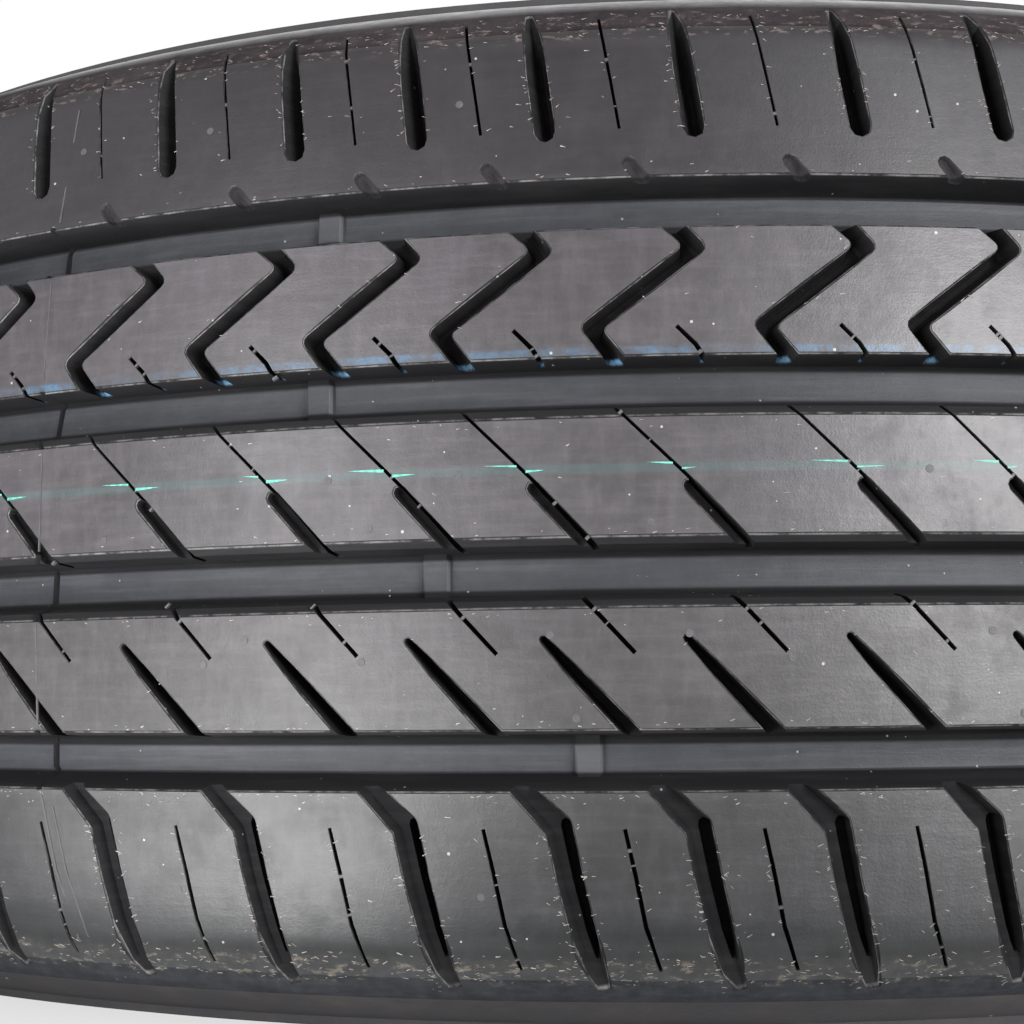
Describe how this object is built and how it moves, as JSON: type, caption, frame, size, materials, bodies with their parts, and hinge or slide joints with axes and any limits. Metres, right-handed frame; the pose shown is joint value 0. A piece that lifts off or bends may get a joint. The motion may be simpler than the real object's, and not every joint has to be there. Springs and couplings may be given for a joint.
{
  "type": "car tyre",
  "caption": "Radial passenger car tyre with straight main grooves, slanted blocks, shoulder slots, open air space and rim seats.",
  "frame": {"origin": "centre of the tyre, on its axis and midway between the sidewalls", "axes": "+Z is the axis of rotation and the picture's upward direction; -Y faces the camera"},
  "size_m": [0.632, 0.632, 0.206],
  "materials": {
    "tyre": "moulded rubber, satin, lightly dusty"
  },
  "bodies": {
    "root": {"tyre": "tyre"}
  },
  "joints": []
}
